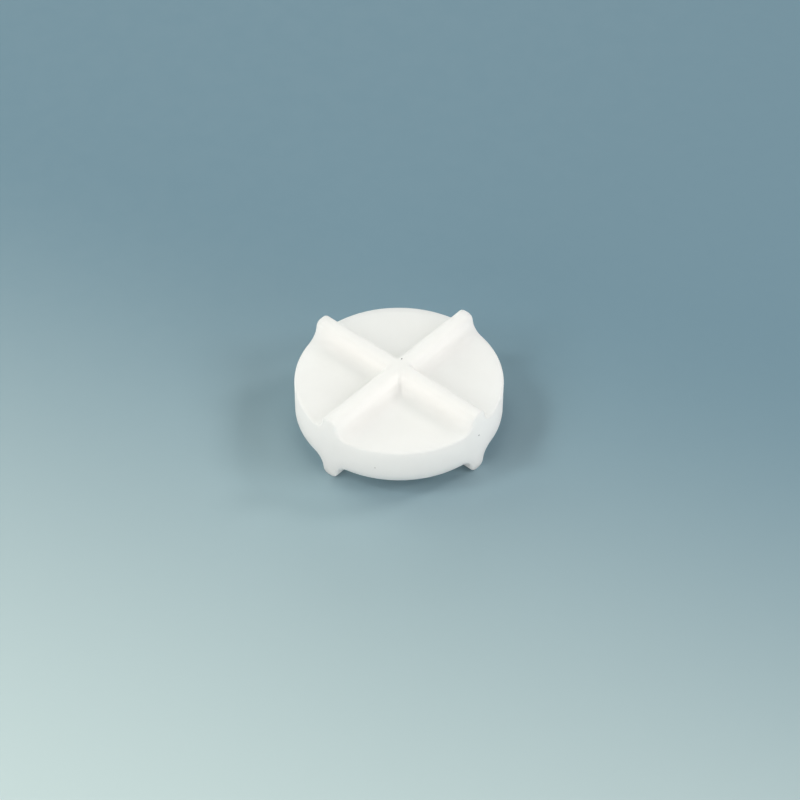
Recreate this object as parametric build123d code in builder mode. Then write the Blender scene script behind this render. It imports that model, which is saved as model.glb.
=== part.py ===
"""Cross-ribbed magnetic stir bar: a white PTFE disc with a raised cross on both faces, round a bar magnet.

Millimetres, +Z up along the spin axis. The origin is where that axis meets the plane the lower cross stands on.
The two ribs of each cross run along X and Y, and the magnet lies along X, midway between the two faces.
"""

from build123d import *

import os
from math import cos, radians, tan

# Disc
disc_diameter = 38.0
disc_thickness = 7.1

# Ribs: height above the disc's floor, width between the sharp corners of the crest, and the roundings
rib_height = 3.45
crest_width = 2.8
crest_radius = 1.3
root_radius = 2.2
flank_draft = 12.0  # degrees from vertical

# Edge break round the wall, along the floors and over the ends of the ribs
edge_break = 0.25

# Magnet, with the PTFE left beyond its ends
magnet_diameter = 6.0
magnet_end_wall = 4.0
magnet_chamfer = 0.6
magnet_clearance = 0.05

# How far a shape runs past the blank that trims it
overrun = 2.0

# The most of its flank that a rounding may take up, so that some flat is left
fillet_limit_share = 0.98

disc_radius = disc_diameter / 2
total_height = disc_thickness + 2 * rib_height
mid_height = total_height / 2
centre = (0, 0, mid_height)
magnet_length = disc_diameter - 2 * magnet_end_wall


def flank_roundings():
    """Radii at the crest and at the root, with the root's held to the length of the flank."""
    flank_length = rib_height / cos(radians(flank_draft))
    setback_share = tan(radians(90 - flank_draft) / 2)
    root_room = flank_length / setback_share - crest_radius
    return crest_radius, min(root_radius, fillet_limit_share * root_room)


def quarter_section():
    """Corners of a quarter of a rib's section, from the disc's mid-plane: crest, root, floor and side."""
    crest_half = crest_width / 2
    root_half = crest_half + rib_height * tan(radians(flank_draft))
    side = disc_radius + overrun
    floor = disc_thickness / 2
    return (0, mid_height), (crest_half, mid_height), (root_half, floor), (side, floor), (side, 0)


def magnet_half_section(growth):
    """Half section of the magnet, above its axis, grown on all sides."""
    with BuildSketch(Plane.XZ.shift_origin(centre)) as half_section:
        Rectangle(
            magnet_length + 2 * growth,
            magnet_diameter / 2 + growth,
            align=(Align.CENTER, Align.MIN),
        )
        chamfer(half_section.vertices().group_by(Axis.Y)[-1], magnet_chamfer)
    return half_section.sketch


magnet_axis = Axis(centre, (1, 0, 0))

# Jacket: one section per rib runs right across, and the round blank trims both flush with the wall
with BuildPart() as jacket:
    for section_plane in (Plane.YZ, Plane.XZ):
        with BuildSketch(section_plane.shift_origin(centre)):
            with BuildLine():
                FilletPolyline(*quarter_section(), radius=(*flank_roundings(), 0))
                mirror(about=Plane.XZ)
                mirror(about=Plane.YZ)
            make_face()
        extrude(amount=disc_radius + overrun, both=True)
    with Locations(centre):
        Cylinder(disc_radius, total_height, mode=Mode.INTERSECT)
    wall = jacket.faces().filter_by(GeomType.CYLINDER).sort_by(SortBy.AREA)[-1]
    chamfer(wall.edges().filter_by(GeomType.LINE, reverse=True), edge_break)
    revolve(magnet_half_section(magnet_clearance), axis=magnet_axis, mode=Mode.SUBTRACT)

# Magnet: a ground rod, sealed in the jacket under the rib along X
with BuildPart() as bar_magnet:
    revolve(magnet_half_section(0), axis=magnet_axis)

jacket.part.label = "jacket"
bar_magnet.part.label = "bar_magnet"

os.makedirs("parts", exist_ok=True)
export_step(jacket.part, "parts/jacket.step")
export_step(bar_magnet.part, "parts/bar_magnet.step")
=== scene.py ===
from math import cos, hypot, pi, radians, sin, sqrt, tan

import bpy
import numpy as np
from mathutils import Matrix, Vector


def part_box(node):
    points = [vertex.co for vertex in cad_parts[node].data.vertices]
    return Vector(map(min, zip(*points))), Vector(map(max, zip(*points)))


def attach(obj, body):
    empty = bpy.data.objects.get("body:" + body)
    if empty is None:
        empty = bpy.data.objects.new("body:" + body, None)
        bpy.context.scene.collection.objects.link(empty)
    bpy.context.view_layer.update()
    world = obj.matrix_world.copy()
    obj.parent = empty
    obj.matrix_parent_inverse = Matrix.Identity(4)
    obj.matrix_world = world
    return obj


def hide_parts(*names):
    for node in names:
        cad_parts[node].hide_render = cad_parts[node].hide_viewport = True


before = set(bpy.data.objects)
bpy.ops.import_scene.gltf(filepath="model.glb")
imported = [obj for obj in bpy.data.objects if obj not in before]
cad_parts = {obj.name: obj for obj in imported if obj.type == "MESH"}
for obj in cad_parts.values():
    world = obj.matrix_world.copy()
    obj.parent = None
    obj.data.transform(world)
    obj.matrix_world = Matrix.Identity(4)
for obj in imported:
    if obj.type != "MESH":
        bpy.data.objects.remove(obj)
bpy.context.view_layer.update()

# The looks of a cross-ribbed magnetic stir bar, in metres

# Jacket: rib height above the disc's floor, width between the crest's sharp corners, roundings and draft
RIB_HEIGHT = 0.00345
CREST_WIDTH = 0.0028
CREST_RADIUS = 0.0013
ROOT_RADIUS = 0.0022
CROSSING_RADIUS = 0.0006
RIM_RADIUS = 0.0004
FLANK_DRAFT = radians(12.0)

# Steps of the skin's grid across a rib, from its crest to the disc's floor
CREST_STEPS = 3
CREST_ROUND_STEPS = 10
FLANK_STEPS = 3
ROOT_STEPS = 16
FLOOR_STEPS = 18

# Steps of the skin's grid round the crossing's corner, along a rib, over the rim and down the wall
CROSSING_STEPS = 8
ALONG_STEPS = 24
RIM_STEPS = 6
WALL_STEPS = 8

# Decimals to which points agree that are merged
MERGE_DIGITS = 8

# Part of the noise's range that is spread over a material's own range
NOISE_RANGE = (0.3, 0.7)

# PTFE: the two whites that cloud it, the sizes of its clouds, gloss and relief, and how far light goes in
PTFE_COLOURS = ((0.955, 0.955, 0.947), (0.972, 0.972, 0.966))
PTFE_ROUGHNESS = (0.75, 0.85)
PTFE_IOR = 1.35
PTFE_CLOUD_GRAIN = 0.004
PTFE_GLOSS_GRAIN = 0.002
PTFE_RELIEF_GRAIN = 0.0003
PTFE_RELIEF_DEPTH = 0.00001
PTFE_SCATTER_DEPTH = 0.004

# Dark spots on the PTFE: place, radius and the share of the colour that is left; the first darkens a small
# spot at the ribs' crossing, the other two are specks on the wall
DARK_SPOTS = (
    ((0.00145, 0.00065, 0.01396), 0.00015, 0.15),
    ((0.0, -0.019, 0.0086), 0.00014, 0.25),
    ((-0.0167, -0.009, 0.0064), 0.00012, 0.6),
)

# Where a dark spot's soft edge starts and ends, as shares of its radius
DARK_SPOT_EDGE_SHARES = (0.7, 1.3)

# Magnet: two greys, and the scratches that are drawn out along its length
MAGNET_COLOURS = ((0.4, 0.4, 0.41), (0.52, 0.52, 0.53))
MAGNET_ROUGHNESS = (0.3, 0.5)
MAGNET_SCRATCH_GRAIN = 0.0002
MAGNET_SCRATCH_DEPTH = 0.000005
MAGNET_SCRATCH_STRETCH = (0.05, 1, 1)

# Floor: its colours far from and near the camera, which paint the lamps' falloff as shade far off and
# light near, where and on which bearing this painted falloff runs, and its relief
FLOOR_HALF_WIDTH = 3.0
FLOOR_PAINTED_FALLOFF_COLOURS = ((0.168, 0.288, 0.37), (0.67, 0.81, 0.82))
FLOOR_PAINTED_FALLOFF_RANGE = (-0.05, 0.15)
FLOOR_PAINTED_FALLOFF_BEARING = radians(-20)
FLOOR_ROUGHNESS = (0.55, 0.65)
FLOOR_GLOSS_GRAIN = 0.006
FLOOR_RELIEF_GRAIN = 0.0008
FLOOR_RELIEF_DEPTH = 0.00001

# Camera: where it stands, seen from the middle of the object, and the image that its lens is given for
CAMERA_AZIMUTH = radians(-48.89)
CAMERA_ELEVATION = radians(44.76)
CAMERA_DISTANCE = 0.4686
CAMERA_ROLL = radians(0.227)
CAMERA_FOCAL_PIXELS = 2569.0
CAMERA_CLIP_RANGE = (0.01, 10.0)
IMAGE_PIXELS = 800
OBJECT_CENTRE_PIXEL = (398.99, 392.04)
SENSOR_WIDTH_MM = 36.0

# Lamps: bearing from the camera (90 is to its right), elevation, size and share of full light by colour
LAMP_DISTANCE = 0.8
LAMPS = {
    "right_lamp": (75, 35, 0.3, (0.295, 0.295, 0.285)),
    "back_right_lamp": (115, 37, 0.18, (0.235, 0.215, 0.2)),
    "high_back_lamp": (180, 65, 0.5, (0.075, 0.08, 0.065)),
    "low_back_lamp": (180, 12, 0.4, (0.15, 0.15, 0.15)),
    "back_left_lamp": (225, 35, 0.5, (0.23, 0.24, 0.215)),
    "high_left_lamp": (280, 50, 0.18, (0.21, 0.215, 0.205)),
    "left_lamp": (300, 35, 0.3, (0.235, 0.24, 0.23)),
    "low_left_lamp": (270, 10, 0.4, (0.135, 0.107, 0.09)),
    "low_front_left_lamp": (330, 10, 0.4, (0.24, 0.208, 0.18)),
    "low_front_right_lamp": (45, 10, 0.4, (0.335, 0.322, 0.3)),
}
AMBIENT_LIGHT = (0.05, 0.06, 0.075)

jacket_low, jacket_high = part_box("jacket")
middle = Vector((0, 0, (jacket_low.z + jacket_high.z) / 2))
wall_radius = jacket_high.x
crest_height = (jacket_high.z - jacket_low.z) / 2
floor_height = crest_height - RIB_HEIGHT


def rib_profile():
    """Half of a rib's section from its mid-plane to the rim, with the rounding of the crossing's corner.

    Each row holds distance, height, the normal's two parts and the corner's radius.
    """
    flank_normal = np.array((cos(FLANK_DRAFT), sin(FLANK_DRAFT)))
    setback_share = tan((pi / 2 - FLANK_DRAFT) / 2)
    crest_flat = CREST_WIDTH / 2 - CREST_RADIUS * setback_share
    root_foot = CREST_WIDTH / 2 + RIB_HEIGHT * tan(FLANK_DRAFT) + ROOT_RADIUS * setback_share
    rim_corner = (wall_radius - RIM_RADIUS) / sqrt(2)
    crest_centre = np.array((crest_flat, crest_height - CREST_RADIUS))
    root_centre = np.array((root_foot, floor_height + ROOT_RADIUS))
    up = np.array((0.0, 1.0))

    def straight(start, end, normal, steps):
        shares = np.linspace(0, 1, steps, endpoint=False)[:, None]
        return np.hstack([start + (np.array(end) - start) * shares, np.tile(normal, (steps, 1))])

    def rounded(centre, radius, first_angle, last_angle, steps):
        angles = np.linspace(first_angle, last_angle, steps, endpoint=False)
        outward = np.stack([np.cos(angles), np.sin(angles)], axis=1)
        return np.hstack([centre + abs(radius) * outward, np.sign(radius) * outward])

    section = np.vstack([
        straight(np.array((0.0, crest_height)), (crest_flat, crest_height), up, CREST_STEPS),
        rounded(crest_centre, CREST_RADIUS, pi / 2, FLANK_DRAFT, CREST_ROUND_STEPS),
        straight(
            crest_centre + CREST_RADIUS * flank_normal,
            root_centre - ROOT_RADIUS * flank_normal,
            flank_normal,
            FLANK_STEPS,
        ),
        rounded(root_centre, -ROOT_RADIUS, pi + FLANK_DRAFT, 3 * pi / 2, ROOT_STEPS),
        straight(np.array((root_foot, floor_height)), (rim_corner, floor_height), up, FLOOR_STEPS),
        [(rim_corner, floor_height, *up)],
    ])
    corner_places = (0.0, crest_flat, root_foot, rim_corner)
    corner_radii = np.interp(section[:, 0], corner_places, (0.0, CROSSING_RADIUS, CROSSING_RADIUS, 0.0))
    return np.column_stack([section, corner_radii])


def skin_sector():
    """Points and normals of an eighth of the upper half, from a rib's mid-plane to a quadrant's diagonal.

    Each row runs from the diagonal round the corner, along the rib, over the rim and down the wall.
    """
    rows = []
    for across, height, normal_across, normal_up, corner_radius in rib_profile():
        rib_normal = np.array((0.0, normal_across, normal_up))
        ball_across = across - RIM_RADIUS * normal_across
        ball = np.array((
            sqrt((wall_radius - RIM_RADIUS) ** 2 - ball_across**2),
            ball_across,
            height - RIM_RADIUS * normal_up,
        ))
        wall_normal = np.array((ball[0], ball[1], 0.0)) / hypot(ball[0], ball[1])
        wall_top = ball + RIM_RADIUS * wall_normal
        rim_angle = np.arccos(np.clip(rib_normal @ wall_normal, -1, 1))
        row = []
        for angle in np.linspace(pi / 4, pi / 2, CROSSING_STEPS, endpoint=False):
            x = across + corner_radius * (1 - cos(angle))
            y = across + corner_radius * (1 - sin(angle))
            sideways = normal_across / (cos(angle) + sin(angle))
            normal = np.array((sideways * cos(angle), sideways * sin(angle), normal_up))
            row.append((x, y, height, *(normal / np.linalg.norm(normal))))
        for x in np.linspace(across + corner_radius, ball[0], ALONG_STEPS, endpoint=False):
            row.append((x, across, height, *rib_normal))
        for angle in np.linspace(0, rim_angle, RIM_STEPS + 1):
            normal = (sin(rim_angle - angle) * rib_normal + sin(angle) * wall_normal) / sin(rim_angle)
            row.append((*(ball + RIM_RADIUS * normal), *normal))
        for z in np.linspace(wall_top[2], 0, WALL_STEPS + 1)[1:]:
            row.append((wall_top[0], wall_top[1], z, *wall_normal))
        rows.append(row)
    return np.array(rows)


def jacket_skin():
    """The jacket's outside in sixteen copies of the sector: points, exact normals and faces."""
    sector = skin_sector()
    row_count, column_count = sector.shape[:2]
    grid = np.arange(row_count * column_count).reshape(row_count, column_count)
    quad_corners = [grid[:-1, :-1], grid[:-1, 1:], grid[1:, 1:], grid[1:, :-1]]
    quads = np.stack(quad_corners, axis=-1).reshape(-1, 4)
    mirrors = np.array([(1, 1, 1), (1, 1, -1), (1, -1, 1), (1, -1, -1)])
    points, normals, faces = [], [], []
    for quarter in range(4):
        turn = np.array(Matrix.Rotation(quarter * pi / 2, 3, "Z"))
        for mirror in mirrors:
            flipped = np.prod(mirror) < 0
            faces.append((quads[:, ::-1] if flipped else quads) + len(points) * grid.size)
            points.append((sector[..., :3].reshape(-1, 3) * mirror) @ turn.T)
            normals.append((sector[..., 3:].reshape(-1, 3) * mirror) @ turn.T)
    return np.vstack(points), np.vstack(normals), np.vstack(faces)


def new_mesh(name, points, normals, faces):
    """A mesh object whose coincident points are merged, with a normal of its own at each face's corner."""
    unique, index = np.unique(points.round(MERGE_DIGITS), axis=0, return_inverse=True)
    index = index.reshape(-1)
    kept, corner_normals = [], []
    for face in faces:
        merged = index[face]
        corners = [i for i in range(len(face)) if merged[i] != merged[i - 1]]
        if len(corners) > 2:
            kept.append([int(merged[i]) for i in corners])
            corner_normals += [normals[face[i]] for i in corners]
    mesh = bpy.data.meshes.new(name)
    mesh.from_pydata((unique + np.array(middle)).tolist(), [], kept)
    mesh.normals_split_custom_set(np.array(corner_normals).tolist())
    piece = bpy.data.objects.new(name, mesh)
    bpy.context.scene.collection.objects.link(piece)
    return piece


class Nodes:
    """Makes and links the nodes of one material."""

    def __init__(self, name):
        self.material = bpy.data.materials.new(name)
        self.material.use_nodes = True
        self.tree = self.material.node_tree
        self.shader = self.tree.nodes["Principled BSDF"]
        self.place = self.tree.nodes.new("ShaderNodeTexCoord").outputs["Object"]

    def set(self, **values):
        for name, value in values.items():
            self.shader.inputs[name.replace("_", " ")].default_value = value

    def link(self, output, socket):
        self.tree.links.new(output, self.shader.inputs[socket])

    def noise(self, grain, detail=2.0, stretch=(1, 1, 1)):
        """Noise whose lumps are about as wide as the grain."""
        mapping = self.tree.nodes.new("ShaderNodeMapping")
        mapping.inputs["Scale"].default_value = stretch
        self.tree.links.new(self.place, mapping.inputs["Vector"])
        noise = self.tree.nodes.new("ShaderNodeTexNoise")
        noise.inputs["Scale"].default_value = 1 / grain
        noise.inputs["Detail"].default_value = detail
        self.tree.links.new(mapping.outputs["Vector"], noise.inputs["Vector"])
        return noise.outputs["Fac"]

    def between(self, factor, low, high, factor_range=NOISE_RANGE):
        """A number that runs smoothly from low to high as the factor runs through its range."""
        remap = self.tree.nodes.new("ShaderNodeMapRange")
        remap.interpolation_type = "SMOOTHSTEP"
        remap.inputs["From Min"].default_value = factor_range[0]
        remap.inputs["From Max"].default_value = factor_range[1]
        remap.inputs["To Min"].default_value = low
        remap.inputs["To Max"].default_value = high
        self.tree.links.new(factor, remap.inputs["Value"])
        return remap.outputs["Result"]

    def distance(self, place):
        """How far the surface is from a place."""
        distance = self.tree.nodes.new("ShaderNodeVectorMath")
        distance.operation = "DISTANCE"
        distance.inputs[1].default_value = place
        self.tree.links.new(self.place, distance.inputs[0])
        return distance.outputs["Value"]

    def along(self, direction):
        """How far the surface lies along a direction."""
        product = self.tree.nodes.new("ShaderNodeVectorMath")
        product.operation = "DOT_PRODUCT"
        product.inputs[1].default_value = direction
        self.tree.links.new(self.place, product.inputs[0])
        return product.outputs["Value"]

    def mix(self, factor, first, second):
        """A colour between two, each given as a colour or as a socket."""
        mix = self.tree.nodes.new("ShaderNodeMix")
        mix.data_type = "RGBA"
        self.tree.links.new(factor, mix.inputs["Factor"])
        for name, colour in (("A", first), ("B", second)):
            socket = next(s for s in mix.inputs if s.name == name and s.type == "RGBA")
            if isinstance(colour, tuple):
                socket.default_value = (*colour, 1)
            else:
                self.tree.links.new(colour, socket)
        return next(s for s in mix.outputs if s.type == "RGBA")

    def bump(self, height, depth):
        """Fine relief as deep as given, where the height runs from 0 to 1."""
        bump = self.tree.nodes.new("ShaderNodeBump")
        bump.inputs["Distance"].default_value = depth
        self.tree.links.new(height, bump.inputs["Height"])
        self.link(bump.outputs["Normal"], "Normal")


def ptfe_material():
    """Waxy white PTFE: faintly clouded, satin, and soft where light goes a little way in."""
    nodes = Nodes("white_ptfe")
    cloud = nodes.between(nodes.noise(PTFE_CLOUD_GRAIN, detail=3), 0, 1)
    colour = nodes.mix(cloud, *PTFE_COLOURS)
    # Dark spots: the first darkens a small spot at the ribs' crossing, the other two are specks on the
    # wall
    for place, radius, colour_share in DARK_SPOTS:
        edge = [edge_share * radius for edge_share in DARK_SPOT_EDGE_SHARES]
        clear = nodes.between(nodes.distance(place), 0, 1, edge)
        colour = nodes.mix(clear, tuple(colour_share * value for value in PTFE_COLOURS[0]), colour)
    nodes.link(colour, "Base Color")
    nodes.link(nodes.between(nodes.noise(PTFE_GLOSS_GRAIN), *PTFE_ROUGHNESS), "Roughness")
    nodes.set(IOR=PTFE_IOR)
    nodes.set(Subsurface_Weight=1.0, Subsurface_Radius=(1, 1, 1), Subsurface_Scale=PTFE_SCATTER_DEPTH)
    nodes.bump(nodes.noise(PTFE_RELIEF_GRAIN, detail=4), PTFE_RELIEF_DEPTH)
    return nodes.material


def magnet_material():
    """Cast magnet alloy, ground along its length."""
    nodes = Nodes("ground_magnet")
    scratches = nodes.noise(MAGNET_SCRATCH_GRAIN, detail=5, stretch=MAGNET_SCRATCH_STRETCH)
    nodes.link(nodes.mix(nodes.between(scratches, 0, 1), *MAGNET_COLOURS), "Base Color")
    nodes.link(nodes.between(scratches, *MAGNET_ROUGHNESS), "Roughness")
    nodes.set(Metallic=1.0)
    nodes.bump(scratches, MAGNET_SCRATCH_DEPTH)
    return nodes.material


def floor_material():
    """Matt blue-grey sheet, with painted light falloff that makes it paler towards the camera, and a faint
    unevenness.
    """
    nodes = Nodes("pale_floor")
    # Painted light falloff: the floor's colour runs from dark far off to pale near the camera, on a tilted
    # bearing
    towards_camera = nodes.along(from_camera_side(FLOOR_PAINTED_FALLOFF_BEARING, 0))
    painted_falloff = nodes.between(towards_camera, 0, 1, FLOOR_PAINTED_FALLOFF_RANGE)
    nodes.link(nodes.mix(painted_falloff, *FLOOR_PAINTED_FALLOFF_COLOURS), "Base Color")
    nodes.link(nodes.between(nodes.noise(FLOOR_GLOSS_GRAIN), *FLOOR_ROUGHNESS), "Roughness")
    nodes.bump(nodes.noise(FLOOR_RELIEF_GRAIN, detail=3), FLOOR_RELIEF_DEPTH)
    return nodes.material


def make_floor():
    corner_signs = ((-1, -1), (1, -1), (1, 1), (-1, 1))
    corners = [(x * FLOOR_HALF_WIDTH, y * FLOOR_HALF_WIDTH, 0) for x, y in corner_signs]
    mesh = bpy.data.meshes.new("floor")
    mesh.from_pydata(corners, [], [(0, 1, 2, 3)])
    floor = bpy.data.objects.new("floor", mesh)
    bpy.context.scene.collection.objects.link(floor)
    floor.data.materials.append(floor_material())


def from_camera_side(bearing, elevation):
    """Unit vector from the object towards a bearing, counted from the camera's side, and an elevation."""
    azimuth = CAMERA_AZIMUTH + bearing
    return Vector((sin(azimuth) * cos(elevation), -cos(azimuth) * cos(elevation), sin(elevation)))


def make_camera():
    """The camera at the photo's viewing angle, shifted so that the object's middle falls on its pixel."""
    data = bpy.data.cameras.new("camera")
    data.sensor_width = SENSOR_WIDTH_MM
    data.lens = CAMERA_FOCAL_PIXELS * SENSOR_WIDTH_MM / IMAGE_PIXELS
    data.shift_x = (IMAGE_PIXELS / 2 - OBJECT_CENTRE_PIXEL[0]) / IMAGE_PIXELS
    data.shift_y = (OBJECT_CENTRE_PIXEL[1] - IMAGE_PIXELS / 2) / IMAGE_PIXELS
    data.clip_start = CAMERA_CLIP_RANGE[0]
    data.clip_end = CAMERA_CLIP_RANGE[1]
    camera = bpy.data.objects.new("camera", data)
    bpy.context.scene.collection.objects.link(camera)
    back = from_camera_side(0, CAMERA_ELEVATION)
    aim = (-back).to_track_quat("-Z", "Y").to_matrix() @ Matrix.Rotation(CAMERA_ROLL, 3, "Z")
    camera.matrix_world = Matrix.Translation(middle + back * CAMERA_DISTANCE) @ aim.to_4x4()
    bpy.context.scene.camera = camera


def make_lamp(name, bearing, elevation, size, light):
    """A square lamp that faces the object and gives a surface turned to it the share of full light."""
    data = bpy.data.lights.new(name, "AREA")
    data.shape = "SQUARE"
    data.size = size
    data.energy = (pi * LAMP_DISTANCE) ** 2
    data.color = light
    lamp = bpy.data.objects.new(name, data)
    bpy.context.scene.collection.objects.link(lamp)
    towards = from_camera_side(radians(bearing), radians(elevation))
    lamp.location = middle + towards * LAMP_DISTANCE
    lamp.rotation_euler = (-towards).to_track_quat("-Z", "Y").to_euler()


def make_world():
    world = bpy.data.worlds.new("world")
    world.use_nodes = True
    world.node_tree.nodes["Background"].inputs["Color"].default_value = (*AMBIENT_LIGHT, 1)
    bpy.context.scene.world = world


skin = new_mesh("jacket_skin", *jacket_skin())
skin.data.materials.append(ptfe_material())
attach(skin, "root")
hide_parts("jacket")

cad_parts["bar_magnet"].material_slots[0].material = magnet_material()

make_floor()
make_camera()
make_world()
for lamp_name, lamp_values in LAMPS.items():
    make_lamp(lamp_name, *lamp_values)

bpy.context.scene.view_settings.view_transform = "Standard"
